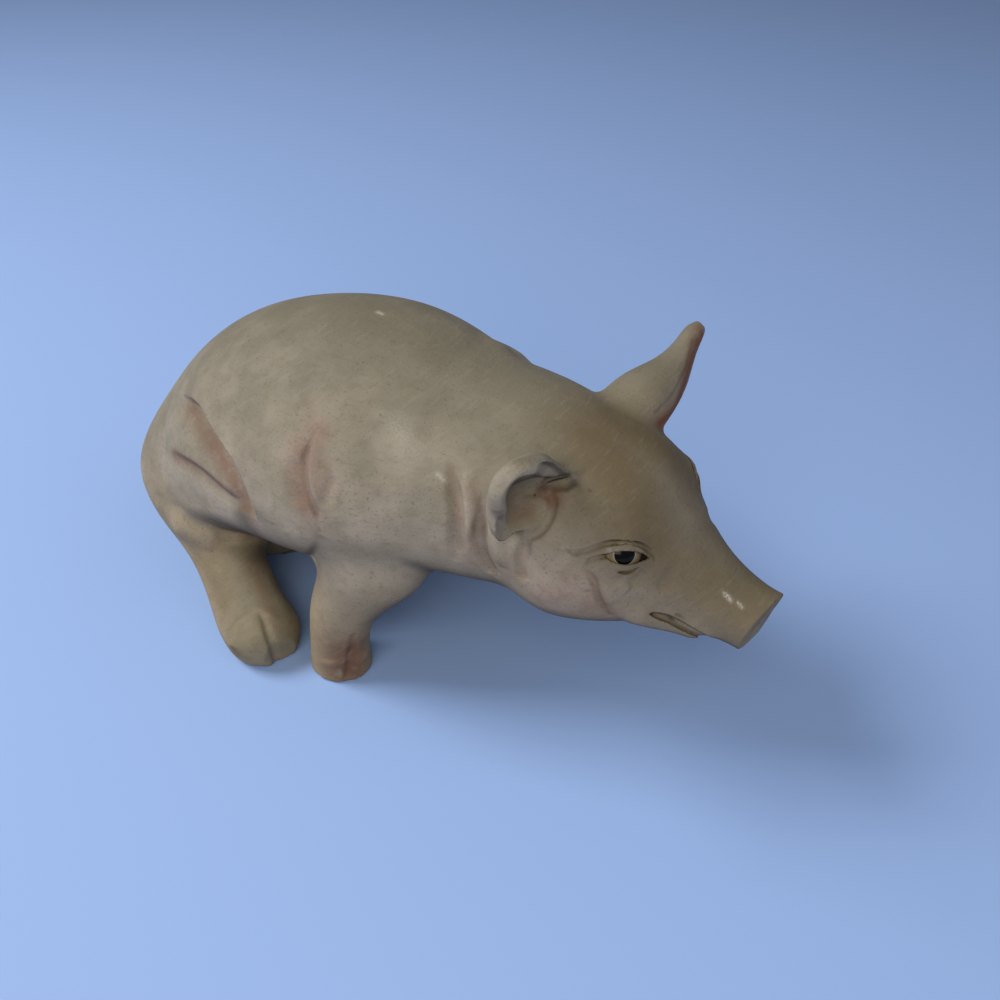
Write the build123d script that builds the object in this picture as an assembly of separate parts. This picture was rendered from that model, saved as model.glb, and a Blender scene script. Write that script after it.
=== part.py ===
from build123d import *
import math
import os

os.makedirs("parts", exist_ok=True)

# A sitting pig figurine, cast in pieces that are pinned and glued together.
# Sizes in millimetres and angles in degrees. +X is where the snout points, +Y the pig's left, +Z up.
# Every table below gives shares of the named sizes just above it.

# Torso: an egg-shaped barrel whose axis rises towards the neck
torso_length = 159.0
torso_half_width = 50.0
torso_rise = 50.0
torso_drop = 44.0
torso_axis_height = 58.0
torso_tilt = 16.0
torso_wall = 6.0
# the cavity spans these stations of the torso, so the rump behind it is solid and heavy
cavity_stations = slice(4, 9)
# ahead of the torso's middle, lift of the axis, half width, rise above it, drop below it, roundness below it
torso_station_shares = [
    (-0.450, -0.12, 0.12, 0.16, 0.23, 0.40),
    (-0.424, -0.08, 0.34, 0.36, 0.57, 0.40),
    (-0.377, -0.04, 0.54, 0.55, 0.88, 0.42),
    (-0.289, -0.02, 0.76, 0.76, 1.12, 0.39),
    (-0.151, 0.04, 0.90, 0.93, 0.93, 0.27),
    (0.038, 0.08, 0.98, 1.00, 0.93, 0.32),
    (0.214, 0.08, 1.00, 0.94, 0.86, 0.40),
    (0.352, 0.02, 0.86, 0.83, 0.70, 0.47),
    (0.465, -0.08, 0.68, 0.68, 0.61, 0.55),
    (0.553, -0.18, 0.44, 0.40, 0.41, 0.55),
]

# Head and neck: a wedge that tapers into a round snout, hung from the front of the torso
head_length = 109.0
head_half_width = 34.0
head_rise = 33.0
head_drop = 28.0
head_tilt = 14.0
head_wall = 6.0
head_ahead_share = 0.659
head_lift_share = -0.31
# ahead of the head's middle, half width, rise, drop
head_station_shares = [
    (-0.495, 0.97, 0.71, 0.93),
    (-0.404, 1.00, 0.84, 1.00),
    (-0.275, 1.00, 0.95, 1.00),
    (-0.128, 0.97, 0.98, 1.00),
    (0.000, 1.00, 0.95, 0.95),
    (0.083, 0.93, 0.88, 0.79),
    (0.165, 0.77, 0.70, 0.63),
    (0.248, 0.57, 0.50, 0.46),
    (0.339, 0.41, 0.36, 0.37),
    (0.422, 0.34, 0.29, 0.34),
    (0.477, 0.31, 0.29, 0.34),
    (0.505, 0.31, 0.30, 0.34),
]
# the cavity's stations: ahead of the head's middle, half width, rise, drop
head_cavity_shares = [
    (-0.110, 1.00, 0.95, 0.97),
    (-0.040, 1.00, 0.95, 0.97),
    (0.030, 1.00, 0.95, 0.97),
]
# the snout ends in a flat disc through this point, turned to the pig's right
snout_end_shares = (0.505, 0.17, 0.30)
snout_end_turn = 12.0
nostril_radius = 1.6
nostril_depth = 5.0
nostril_side_share = 0.13
mouth_gap = 0.9
mouth_length_share = 0.175
mouth_front_share = 0.43
mouth_drop_share = 0.22
mouth_tilt = 6.0

# Eyes: glossy beads in round sockets
eye_radius = 7.0
eye_ahead_share = 0.095
eye_side_share = 0.532
eye_lift_share = 0.412
eye_back_share = 0.45
socket_clearance = 0.15

# Ears: cupped leaves that stand out sideways
ear_length = 45.0
ear_half_width = 13.5
ear_thickness = 5.0
ear_cup = 7.5
ear_root_shares = (-0.110, 0.53, 0.67)
# along the ear: ahead, outwards, up, then half width, thickness and cup
right_ear_station_shares = [
    (0.04, -0.20, 0.02, 0.35, 1.60, 0.40),
    (0.00, 0.06, 0.06, 0.48, 1.40, 0.60),
    (-0.05, 0.22, 0.09, 0.88, 1.15, 0.90),
    (-0.09, 0.36, 0.11, 1.08, 1.05, 0.80),
    (-0.12, 0.47, 0.11, 0.98, 1.00, 0.50),
    (-0.14, 0.53, 0.10, 0.60, 0.85, 0.20),
]
left_ear_station_shares = [
    (0.00, -0.20, -0.10, 0.75, 1.30, 0.50),
    (0.03, 0.06, 0.00, 0.78, 1.20, 0.70),
    (0.06, 0.27, 0.09, 0.70, 1.15, 0.75),
    (0.09, 0.53, 0.17, 0.46, 1.10, 0.50),
    (0.08, 0.73, 0.29, 0.27, 1.00, 0.28),
    (0.08, 0.83, 0.36, 0.20, 0.85, 0.15),
    (0.09, 0.865, 0.385, 0.13, 0.60, 0.06),
]
right_ear_twist = 90.0
left_ear_twist = -12.0
ear_edge_share = 0.62
ear_rim_share = 0.60

# Legs: each runs down a path from the torso to a foot
foreleg_half = 10.5
# ahead, side and height of the path, then half thickness across and along
foreleg_station_shares = [
    (0.282, 0.44, 1.120, 1.30, 1.40),
    (0.256, 0.60, 0.900, 1.62, 1.72),
    (0.226, 0.68, 0.700, 1.28, 1.33),
    (0.189, 0.74, 0.448, 1.00, 1.05),
    (0.176, 0.76, 0.207, 0.90, 1.00),
    (0.170, 0.76, -0.020, 0.97, 1.07),
]
hind_leg_half = 12.0
hind_leg_station_shares = [
    (-0.270, 0.30, 1.240, 0.60, 0.65),
    (-0.292, 0.40, 1.034, 1.08, 1.20),
    (-0.302, 0.50, 0.810, 1.33, 1.37),
    (-0.277, 0.54, 0.620, 1.25, 1.25),
    (-0.208, 0.60, 0.414, 1.04, 1.12),
    (-0.101, 0.76, 0.241, 0.92, 1.00),
    (-0.013, 0.90, 0.155, 0.96, 0.85),
    (0.045, 0.99, 0.110, 1.08, 0.66),
    (0.068, 1.03, 0.090, 0.62, 0.36),
]

# Tail: a thin limb from the rump down to the ground
tail_half = 3.6
tail_station_shares = [
    (-0.380, 0.00, 0.62, 1.25, 1.25),
    (-0.440, 0.04, 0.42, 1.00, 1.00),
    (-0.475, 0.14, 0.21, 0.80, 0.80),
    (-0.480, 0.28, 0.045, 0.55, 0.55),
]

# Creases: round-bottomed grooves in the skin of the right side, repeated on the left
# ahead, side and height of the groove in shares of the torso, then its share of the crease's radius
haunch_crease_radius = 3.5
haunch_crease_shares = [
    (-0.303, 0.554, 1.313, 0.20),
    (-0.164, 0.731, 1.469, 0.70),
    (-0.086, 0.836, 1.455, 1.00),
    (-0.023, 0.915, 1.404, 1.00),
    (0.021, 0.966, 1.347, 0.90),
    (0.050, 1.000, 1.257, 0.60),
    (0.076, 1.017, 1.128, 0.20),
]
shank_crease_radius = 2.4
shank_crease_shares = [
    (-0.297, 0.730, 1.100, 0.20),
    (-0.160, 0.864, 1.237, 0.80),
    (-0.080, 0.925, 1.248, 1.00),
    (-0.014, 0.972, 1.218, 0.90),
    (0.046, 1.004, 1.199, 0.40),
]
armpit_crease_radius = 2.4
armpit_crease_shares = [
    (0.191, 0.764, 1.734, 0.20),
    (0.186, 0.878, 1.609, 0.80),
    (0.194, 0.926, 1.530, 1.00),
    (0.210, 0.957, 1.450, 0.80),
    (0.233, 0.986, 1.281, 0.20),
]
neck_crease_radius = 2.2
neck_crease_shares = [
    (0.440, 0.570, 1.710, 0.20),
    (0.459, 0.627, 1.634, 0.80),
    (0.473, 0.669, 1.548, 1.00),
    (0.481, 0.704, 1.419, 0.90),
    (0.478, 0.713, 1.250, 0.30),
]
# the same in shares of the head
jowl_crease_radius = 1.8
jowl_crease_shares = [
    (-0.247, 0.905, 0.420, 0.20),
    (-0.227, 0.970, 0.242, 0.90),
    (-0.208, 1.000, 0.035, 1.00),
    (-0.180, 0.985, -0.125, 0.90),
    (-0.147, 0.950, -0.240, 0.30),
]
nape_crease_radius = 1.6
nape_crease_shares = [
    (-0.097, 0.905, 0.405, 0.20),
    (-0.098, 0.955, 0.275, 0.90),
    (-0.093, 0.988, 0.130, 1.00),
    (-0.070, 1.005, -0.040, 0.30),
]
cheek_crease_radius = 1.4
cheek_crease_shares = [
    (0.058, 0.885, 0.385, 0.30),
    (0.089, 0.872, 0.313, 0.80),
    (0.112, 0.866, 0.217, 1.00),
    (0.141, 0.836, 0.050, 0.80),
    (0.160, 0.790, -0.040, 0.30),
]

# Pins and the dowel that hold the castings together
pin_clearance = 0.15
neck_dowel_radius = 5.0
neck_dowel_start_share = 0.45
neck_dowel_end_share = -0.02
leg_pin_radius = 2.0
# the station that a pin starts from, and its start and end on the way from there to the second station
foreleg_pin_shares = (3, 0.05, 1.10)
hind_leg_pin_shares = (4, 0.05, 0.60)
ear_pin_radius = 1.2
tail_pin_radius = 0.9
# an ear's pin starts between its first two stations and ends between the next two
ear_pin_shares = (0.55, 0.85)
tail_pin_shares = (-0.10, 0.60)
# the station behind each foot pad, and the share of the way on to the next one
foreleg_sole_shares = (4, 1.0)
hind_sole_shares = (6, 0.3)

# Pour hole in the belly and its plug
plug_radius = 9.0
plug_clearance = 0.2
plug_ahead_share = -0.04

# Felt pads let into the flat soles
pad_thickness = 1.6
pad_proud = 0.5
pad_clearance = 0.2
foot_pad_radius = 5.0
rump_pad_radius = 9.0
rump_pad_ahead_share = -0.20

# One overrun serves all cuts
overrun = 20.0

# how far a quarter's handles reach along its half axes, where the quarter is an ellipse's
ellipse_share = 0.5523
pole_angle = 90.0
full_turn = 360.0


def turned_plane(origin, nose_up):
    """A plane whose x axis points forwards, raised by nose_up degrees."""
    turn = math.radians(nose_up)
    forwards = Vector(math.cos(turn), 0, math.sin(turn))
    upwards = Vector(-math.sin(turn), 0, math.cos(turn))
    return Plane(origin=origin, x_dir=forwards, z_dir=upwards)


def local_point(plane, ahead, side, up):
    """A point given along a plane's three axes."""
    return plane.origin + plane.x_dir * ahead + plane.y_dir * side + plane.z_dir * up


def quarter(centre, start, end, roundness):
    """A quarter of a ring about a centre, from one half axis to the next."""
    return Edge.make_bezier(
        centre + start,
        centre + start + end * roundness,
        centre + end + start * roundness,
        centre + end,
    )


def ring(centre, side, up, down, low_roundness):
    """A closed ring with the half axes side, up and down; low_roundness shapes its two lower quarters."""
    return Wire([
        quarter(centre, side, up, ellipse_share),
        quarter(centre, up, -side, ellipse_share),
        quarter(centre, -side, down, low_roundness),
        quarter(centre, down, side, low_roundness),
    ])


def egg_ring(plane, ahead, lift, half_width, rise, drop, low_roundness):
    """An egg-shaped ring across a plane's x axis."""
    centre = local_point(plane, ahead, 0, lift)
    return ring(centre, plane.y_dir * half_width, plane.z_dir * rise, plane.z_dir * -drop, low_roundness)


def limb_rings(path, halves):
    """Rings across a path; halves gives each ring's half thickness across and along."""
    rings = []
    for index, centre in enumerate(path):
        before = path[max(index - 1, 0)]
        after = path[min(index + 1, len(path) - 1)]
        run = (after - before).normalized()
        along = (Vector(1, 0, 0) - run * run.X).normalized()
        across = run.cross(along)
        half_across, half_along = halves[index]
        rings.append(ring(centre, across * half_across, along * half_along, along * -half_along, ellipse_share))
    return rings


def rod(start, end, radius):
    """A round rod between two points."""
    run = end - start
    return Solid.make_cylinder(radius, run.length, Plane(origin=start, z_dir=run))


def between(start, end, share):
    """The point at a share of the way from start to end."""
    return start + (end - start) * share


torso_plane = turned_plane(Vector(0, 0, torso_axis_height), torso_tilt)
head_origin = local_point(torso_plane, torso_length * head_ahead_share, 0, torso_rise * head_lift_share)
head_plane = turned_plane(head_origin, -head_tilt)


def torso_rings(stations, inset):
    """The torso's rings, drawn in by inset all round."""
    rings = []
    for ahead, lift, width, rise, drop, roundness in stations:
        rings.append(egg_ring(
            torso_plane,
            torso_length * ahead,
            torso_rise * lift,
            torso_half_width * width - inset,
            torso_rise * rise - inset,
            torso_drop * drop - inset,
            roundness,
        ))
    return rings


def head_rings(stations, inset):
    """The head's rings, drawn in by inset all round."""
    rings = []
    for ahead, width, rise, drop in stations:
        rings.append(egg_ring(
            head_plane,
            head_length * ahead,
            0,
            head_half_width * width - inset,
            head_rise * rise - inset,
            head_drop * drop - inset,
            ellipse_share,
        ))
    return rings


def limb_path(station_shares, side):
    """A leg's or the tail's path; side is 1 for the pig's left and -1 for its right."""
    return [
        Vector(torso_length * ahead, side * torso_half_width * out, torso_axis_height * up)
        for ahead, out, up, _, _ in station_shares
    ]


def limb_solid(station_shares, half, side):
    """A leg or the tail as one smooth solid along its path."""
    halves = [(half * across, half * along) for _, _, _, across, along in station_shares]
    return Solid.make_loft(limb_rings(limb_path(station_shares, side), halves))


def crease(path, radii):
    """A spindle along a path that never runs sideways."""
    rings = []
    for index, centre in enumerate(path):
        before = path[max(index - 1, 0)]
        after = path[min(index + 1, len(path) - 1)]
        run = (after - before).normalized()
        outwards = (Vector(0, -1, 0) + run * run.Y).normalized()
        across = run.cross(outwards)
        radius = radii[index]
        rings.append(ring(centre, across * radius, outwards * radius, outwards * -radius, ellipse_share))
    return Solid.make_loft(rings)


def torso_crease(shares, radius):
    """The tool that presses a crease whose path is given in shares of the torso."""
    path = [Vector(torso_length * ahead, -torso_half_width * out, torso_axis_height * up)
            for ahead, out, up, _ in shares]
    return crease(path, [radius * share for _, _, _, share in shares])


def head_crease(shares, radius):
    """The tool that presses a crease whose path is given in shares of the head."""
    path = [local_point(head_plane, head_length * ahead, -head_half_width * out, head_rise * up)
            for ahead, out, up, _ in shares]
    return crease(path, [radius * share for _, _, _, share in shares])


def under_ground():
    """All that would lie under the soles."""
    reach = torso_length + head_length
    depth = torso_axis_height
    return Solid.make_box(2 * reach, 2 * reach, depth, Plane(origin=(-reach, -reach, pad_proud - depth)))


def pad(centre, radius):
    """A round felt pad that stands on the ground."""
    return Solid.make_cylinder(radius, pad_thickness, Plane(origin=(centre.X, centre.Y, 0)))


def pad_recess(centre, radius):
    """The pocket in a sole that a pad sits in."""
    return Solid.make_cylinder(radius + pad_clearance, pad_thickness, Plane(origin=(centre.X, centre.Y, 0)))


def ear_solid(station_shares, side, twist):
    """A cupped ear and the line along the middle of its wall; twist turns its mouth from down to forwards."""
    root = local_point(
        head_plane,
        head_length * ear_root_shares[0],
        side * head_half_width * ear_root_shares[1],
        head_rise * ear_root_shares[2],
    )
    turn = math.radians(twist)
    chord = head_plane.x_dir * math.cos(turn) + head_plane.z_dir * math.sin(turn)
    path = []
    for ahead, out, up, _, _, _ in station_shares:
        path.append(root + head_plane.x_dir * (ear_length * ahead) + Vector(0, side * ear_length * out, 0)
                    + head_plane.z_dir * (ear_length * up))
    rings = []
    ridge = []
    for index, centre in enumerate(path):
        _, _, _, width_share, thickness_share, cup_share = station_shares[index]
        before = path[max(index - 1, 0)]
        after = path[min(index + 1, len(path) - 1)]
        run = (after - before).normalized()
        level = (chord - run * chord.dot(run)).normalized()
        back = run.cross(level) * -side
        half = ear_half_width * width_share
        thickness = ear_thickness * thickness_share
        cup = ear_cup * cup_share
        ridge.append(centre + back * cup)
        backs = []
        fronts = []
        for edge in (-1, -ear_edge_share, 0, ear_edge_share, 1):
            wall = thickness * (ear_rim_share if abs(edge) == 1 else 1)
            middle = centre + level * (-side * half * edge) + back * (cup * (1 - edge * edge))
            backs.append(middle + back * (wall / 2))
            fronts.append(middle - back * (wall / 2))
        rings.append(Wire([
            Edge.make_spline(backs),
            Edge.make_line(backs[-1], fronts[-1]),
            Edge.make_spline(fronts[::-1]),
            Edge.make_line(fronts[0], backs[0]),
        ]))
    return Solid.make_loft(rings), ridge


def eye_centre(side):
    """The middle of an eye bead."""
    return local_point(
        head_plane,
        head_length * eye_ahead_share,
        side * head_half_width * eye_side_share,
        head_rise * eye_lift_share,
    )


def ball(centre, radius):
    """A ball about a point, with its poles facing into and out of the head."""
    upright = Plane(origin=centre, z_dir=centre - head_plane.origin)
    return Solid.make_sphere(radius, upright, -pole_angle, pole_angle, full_turn)


def half_space(point, outwards, reach):
    """A thick round block whose flat face lies at point and looks along outwards."""
    return Solid.make_cylinder(reach, reach, Plane(origin=point, z_dir=outwards * -1))


def eye_bead(side):
    """An eye bead with a flat back, which faces into the head."""
    centre = eye_centre(side)
    outwards = (centre - head_plane.origin).normalized()
    back = centre - outwards * (eye_radius * eye_back_share)
    return ball(centre, eye_radius) - half_space(back, outwards, 2 * eye_radius)


def eye_socket(side):
    """The pocket in the head that an eye bead sits in."""
    centre = eye_centre(side)
    outwards = (centre - head_plane.origin).normalized()
    back = centre - outwards * (eye_radius * eye_back_share + socket_clearance)
    return ball(centre, eye_radius + socket_clearance) - half_space(back, outwards, 2 * eye_radius)


def beyond_snout():
    """All that would lie ahead of the snout's flat end."""
    ahead, side, up = snout_end_shares
    edge = local_point(head_plane, head_length * ahead, head_half_width * side, head_rise * up)
    turn = math.radians(snout_end_turn)
    facing = head_plane.x_dir * math.cos(turn) - head_plane.y_dir * math.sin(turn)
    return half_space(edge + facing * head_length, facing, head_length)


def nostril(side):
    """A blind hole in the snout disc."""
    end_ahead, end_side, _ = snout_end_shares
    out = side * nostril_side_share
    setback = head_half_width * (end_side - out) * math.tan(math.radians(snout_end_turn))
    mouth = local_point(head_plane, head_length * end_ahead - setback, head_half_width * out, 0)
    return rod(mouth - head_plane.x_dir * nostril_depth, mouth + head_plane.x_dir * overrun, nostril_radius)


def mouth_slot():
    """The thin gap between the lips, which runs back from under the snout."""
    front = local_point(head_plane, head_length * mouth_front_share, 0, -head_drop * mouth_drop_share)
    slot_plane = turned_plane(front, mouth_tilt - head_tilt)
    length = head_length * mouth_length_share
    corner = local_point(slot_plane, -length, -head_half_width, -mouth_gap / 2)
    slot = Plane(origin=corner, x_dir=slot_plane.x_dir, z_dir=slot_plane.z_dir)
    return Solid.make_box(length, 2 * head_half_width, mouth_gap, slot)


torso_whole = Solid.make_loft(torso_rings(torso_station_shares, 0))
torso_cavity = Solid.make_loft(torso_rings(
    torso_station_shares[cavity_stations],
    torso_wall,
))
head_whole = Solid.make_loft(head_rings(head_station_shares, 0)) - beyond_snout()
head_cavity = Solid.make_loft(head_rings(head_cavity_shares, head_wall))
ground_cut = under_ground()
creases = [
    torso_crease(haunch_crease_shares, haunch_crease_radius),
    torso_crease(shank_crease_shares, shank_crease_radius),
    torso_crease(armpit_crease_shares, armpit_crease_radius),
    torso_crease(neck_crease_shares, neck_crease_radius),
    head_crease(jowl_crease_shares, jowl_crease_radius),
    head_crease(nape_crease_shares, nape_crease_radius),
    head_crease(cheek_crease_shares, cheek_crease_radius),
]

nodes = {}
torso_cuts = []
head_cuts = []


def mirrored(piece):
    """The same piece on the pig's other side."""
    return piece.mirror(Plane.XZ)


def add_both_sides(name, piece):
    """A right-hand piece and its mirror image on the left."""
    nodes["right_" + name] = piece
    nodes["left_" + name] = mirrored(piece)


def add_legs(name, station_shares, half, pin_shares, sole_shares):
    """A pair of leg castings, each with its steel pin and its felt pad."""
    path = limb_path(station_shares, -1)
    pin_start = between(path[pin_shares[0]], path[1], pin_shares[1])
    pin_end = between(path[pin_shares[0]], path[1], pin_shares[2])
    pin_hole = rod(pin_start, pin_end, leg_pin_radius + pin_clearance)
    sole = between(path[sole_shares[0]], path[sole_shares[0] + 1], sole_shares[1])
    whole = limb_solid(station_shares, half, -1) - ground_cut - pin_hole - pad_recess(sole, foot_pad_radius)
    for tool in creases:
        whole = whole - tool
    nodes["right_" + name] = whole - torso_whole
    nodes["left_" + name] = mirrored(whole) - torso_whole
    add_both_sides(name + "_pin", rod(pin_start, pin_end, leg_pin_radius))
    add_both_sides(name + "_pad", pad(sole, foot_pad_radius))
    torso_cuts.extend((pin_hole, mirrored(pin_hole)))


def add_ear(name, station_shares, side, twist):
    """One ear casting with its steel pin."""
    whole, ridge = ear_solid(station_shares, side, twist)
    pin_start = between(ridge[0], ridge[1], ear_pin_shares[0])
    pin_end = between(ridge[1], ridge[2], ear_pin_shares[1])
    pin_hole = rod(pin_start, pin_end, ear_pin_radius + pin_clearance)
    nodes[name] = whole - head_whole - pin_hole
    nodes[name + "_pin"] = rod(pin_start, pin_end, ear_pin_radius)
    head_cuts.append(pin_hole)


def add_eyes():
    """The eye beads, and their sockets in the head."""
    add_both_sides("eye", eye_bead(-1))
    head_cuts.extend((eye_socket(-1), mirrored(eye_socket(-1))))


def add_tail():
    """The tail casting with its pin."""
    path = limb_path(tail_station_shares, -1)
    pin_start = between(path[0], path[1], tail_pin_shares[0])
    pin_end = between(path[0], path[1], tail_pin_shares[1])
    pin_hole = rod(pin_start, pin_end, tail_pin_radius + pin_clearance)
    nodes["tail"] = limb_solid(tail_station_shares, tail_half, -1) - torso_whole - ground_cut - pin_hole
    nodes["tail_pin"] = rod(pin_start, pin_end, tail_pin_radius)
    torso_cuts.append(pin_hole)


def add_plug():
    """The rubber plug that fills the pour hole through the belly's wall."""
    top = local_point(torso_plane, torso_length * plug_ahead_share, 0, 0)
    bottom = local_point(torso_plane, torso_length * plug_ahead_share, 0, -torso_drop - overrun)
    nodes["belly_plug"] = (rod(top, bottom, plug_radius) & torso_whole) - torso_cavity
    torso_cuts.append(rod(top, bottom, plug_radius + plug_clearance))


def add_neck_dowel():
    """The dowel that joins the torso's front wall to the head's rear wall."""
    start = local_point(
        torso_plane,
        torso_length * neck_dowel_start_share,
        0,
        torso_rise * torso_station_shares[-2][1],
    )
    end = local_point(head_plane, head_length * neck_dowel_end_share, 0, 0)
    nodes["neck_dowel"] = rod(start, end, neck_dowel_radius)
    hole = rod(start, end, neck_dowel_radius + pin_clearance)
    torso_cuts.append(hole)
    head_cuts.append(hole)


add_legs("foreleg", foreleg_station_shares, foreleg_half, foreleg_pin_shares, foreleg_sole_shares)
add_legs("hind_leg", hind_leg_station_shares, hind_leg_half, hind_leg_pin_shares, hind_sole_shares)
add_eyes()
add_ear("right_ear", right_ear_station_shares, -1, right_ear_twist)
add_ear("left_ear", left_ear_station_shares, 1, left_ear_twist)
add_tail()
add_plug()
add_neck_dowel()

rump_pad_centre = Vector(torso_length * rump_pad_ahead_share, 0, 0)
nodes["rump_pad"] = pad(rump_pad_centre, rump_pad_radius)
torso_cuts.append(pad_recess(rump_pad_centre, rump_pad_radius))

skin_cuts = creases + [mirrored(tool) for tool in creases]
torso_shell = torso_whole - ground_cut - torso_cavity
for cut in torso_cuts + skin_cuts:
    torso_shell = torso_shell - cut
nodes["torso_shell"] = torso_shell

head_casting = head_whole - torso_whole - head_cavity
for cut in head_cuts + [nostril(-1), nostril(1), mouth_slot()] + skin_cuts:
    head_casting = head_casting - cut
nodes["head_casting"] = head_casting

# The origin is the middle of the figurine's length, on its plane of symmetry, at the ground
box = Compound([solid for node in nodes.values() for solid in node.solids()]).bounding_box()
centring = Location((-(box.min.X + box.max.X) / 2, 0, -box.min.Z))

total = 0
moment = 0
for name, node in nodes.items():
    solids = [solid.moved(centring) for solid in node.solids()]
    piece = Compound(solids) if len(solids) > 1 else solids[0]
    total += piece.volume
    moment += piece.volume * piece.center(CenterOf.MASS).X
    export_step(piece, "parts/" + name + ".step")
print("balance point, ahead of the origin:", round(moment / total, 1))
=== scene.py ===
import math

import bpy
import numpy as np
import openvdb as vdb
from mathutils import Matrix, Vector


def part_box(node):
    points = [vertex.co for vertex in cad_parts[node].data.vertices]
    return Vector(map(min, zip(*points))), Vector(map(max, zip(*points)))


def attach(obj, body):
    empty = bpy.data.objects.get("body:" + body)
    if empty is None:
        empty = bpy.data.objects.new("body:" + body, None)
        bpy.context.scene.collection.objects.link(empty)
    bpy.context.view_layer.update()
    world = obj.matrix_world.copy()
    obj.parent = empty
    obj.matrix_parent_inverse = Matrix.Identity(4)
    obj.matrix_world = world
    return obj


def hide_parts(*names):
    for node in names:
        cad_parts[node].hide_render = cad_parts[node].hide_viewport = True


# A sitting pig figurine in hand-painted matte resin. Metres, +X along the snout, +Y the pig's left, +Z up.
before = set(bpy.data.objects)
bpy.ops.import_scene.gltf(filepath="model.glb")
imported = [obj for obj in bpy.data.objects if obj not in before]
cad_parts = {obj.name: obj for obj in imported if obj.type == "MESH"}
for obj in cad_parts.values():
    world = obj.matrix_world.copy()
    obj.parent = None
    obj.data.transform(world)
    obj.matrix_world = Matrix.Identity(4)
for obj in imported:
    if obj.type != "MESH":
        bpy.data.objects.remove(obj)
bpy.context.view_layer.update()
corners = [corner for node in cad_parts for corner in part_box(node)]
LOW = np.min(corners, axis=0)
HIGH = np.max(corners, axis=0)

MM = 0.001
BODY = "root"

# The camera stands where the photograph was taken from, and pixels are those of a 1000 x 1000 frame
CAMERA_PLACE = np.array((157.36, -206.51, 269.72)) * MM
CAMERA_FORWARD = np.array((-0.40594, 0.64964, -0.64279))
CAMERA_RIGHT = np.array((0.84805, 0.52992, 0.0))
CAMERA_UP = np.cross(CAMERA_RIGHT, CAMERA_FORWARD)
FRAME_PIXELS = 1000
FOCAL_PIXELS = 1000
# The lens is as long as the film is wide
LENS = 36.0

# How finely the skin is modelled
HEAD_CELL = 0.5 * MM
BODY_CELL = 0.75 * MM
WHOLE_CELL = 1.25 * MM
REACH = 10 * MM
SHELL = 6 * MM

# How lines of sight are followed, how far strokes and paints spread in their widths, and how far out the painted
# shade of creases and hollows is measured
SIGHT_START = 200 * MM
SIGHT_STEPS = 160
STROKE_STEP = 4.0
STROKE_SPREAD = 2.4
PAINT_SPREAD = 2.6
CREASE_REACH = 0.9 * MM
SHADE_REACH = 4 * MM
FAR = 1e9

# The torso: an egg-shaped barrel whose axis rises towards the neck
ROW_SHIFT = -40.74 * MM
TORSO_LENGTH = 159 * MM
TORSO_HALF_WIDTH = 50 * MM
TORSO_RISE = 50 * MM
TORSO_DROP = 44 * MM
TORSO_AXIS_HEIGHT = 58 * MM
TORSO_TILT = math.radians(16)
# ahead of the torso's middle, lift of the axis, half width, rise, drop, roundness of the belly
TORSO_STATIONS = (
    (-0.45, -0.12, 0.12, 0.16, 0.23, 0.4),
    (-0.424, -0.08, 0.34, 0.36, 0.57, 0.4),
    (-0.377, -0.04, 0.54, 0.55, 0.88, 0.42),
    (-0.289, -0.02, 0.76, 0.76, 1.12, 0.39),
    (-0.151, 0.04, 0.9, 0.93, 0.93, 0.27),
    (0.038, 0.08, 0.98, 1, 0.93, 0.32),
    (0.214, 0.08, 1, 0.94, 0.86, 0.4),
    (0.352, 0.02, 0.86, 0.83, 0.7, 0.47),
    (0.465, -0.08, 0.68, 0.68, 0.61, 0.55),
    (0.553, -0.18, 0.44, 0.4, 0.41, 0.55),
)
ROUND_SHARE = 0.5523

# The head and neck: a wedge that tapers into a round snout
HEAD_LENGTH = 109 * MM
HEAD_HALF_WIDTH = 34 * MM
HEAD_RISE = 33 * MM
HEAD_DROP = 28 * MM
HEAD_TILT = math.radians(-14)
HEAD_AHEAD_SHARE = 0.659
HEAD_LIFT_SHARE = -0.31
# ahead of the head's middle, half width, rise, drop
HEAD_STATIONS = (
    (-0.495, 0.97, 0.71, 0.93),
    (-0.404, 1, 0.84, 1),
    (-0.275, 1, 0.95, 1),
    (-0.128, 0.97, 0.98, 1),
    (0, 1, 0.95, 0.95),
    (0.083, 0.93, 0.88, 0.79),
    (0.165, 0.77, 0.7, 0.63),
    (0.248, 0.57, 0.5, 0.46),
    (0.339, 0.41, 0.36, 0.37),
    (0.422, 0.34, 0.29, 0.34),
    (0.477, 0.31, 0.29, 0.34),
    (0.505, 0.31, 0.3, 0.34),
)

# The ears: cupped leaves that stand out sideways
EAR_LENGTH = 45 * MM
EAR_HALF_WIDTH = 13.5 * MM
EAR_THICKNESS = 5 * MM
EAR_CUP = 7.5 * MM
EAR_ROOT = (-0.110, 0.53, 0.67)
# ahead, outwards, up, half width, thickness, cup
RIGHT_EAR_STATIONS = (
    (0.04, -0.2, 0.02, 0.35, 1.6, 0.4),
    (0, 0.06, 0.06, 0.48, 1.4, 0.6),
    (-0.05, 0.22, 0.09, 0.88, 1.15, 0.9),
    (-0.09, 0.36, 0.11, 1.08, 1.05, 0.8),
    (-0.12, 0.47, 0.11, 0.98, 1, 0.5),
    (-0.14, 0.53, 0.1, 0.6, 0.85, 0.2),
)
LEFT_EAR_STATIONS = (
    (0, -0.2, -0.1, 0.75, 1.3, 0.5),
    (0.03, 0.06, 0, 0.78, 1.2, 0.7),
    (0.06, 0.27, 0.09, 0.7, 1.15, 0.75),
    (0.09, 0.53, 0.17, 0.46, 1.1, 0.5),
    (0.08, 0.73, 0.29, 0.27, 1, 0.28),
    (0.08, 0.83, 0.36, 0.2, 0.85, 0.15),
    (0.09, 0.865, 0.385, 0.13, 0.6, 0.06),
)
EAR_RIM_SHARE = 0.60
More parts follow.
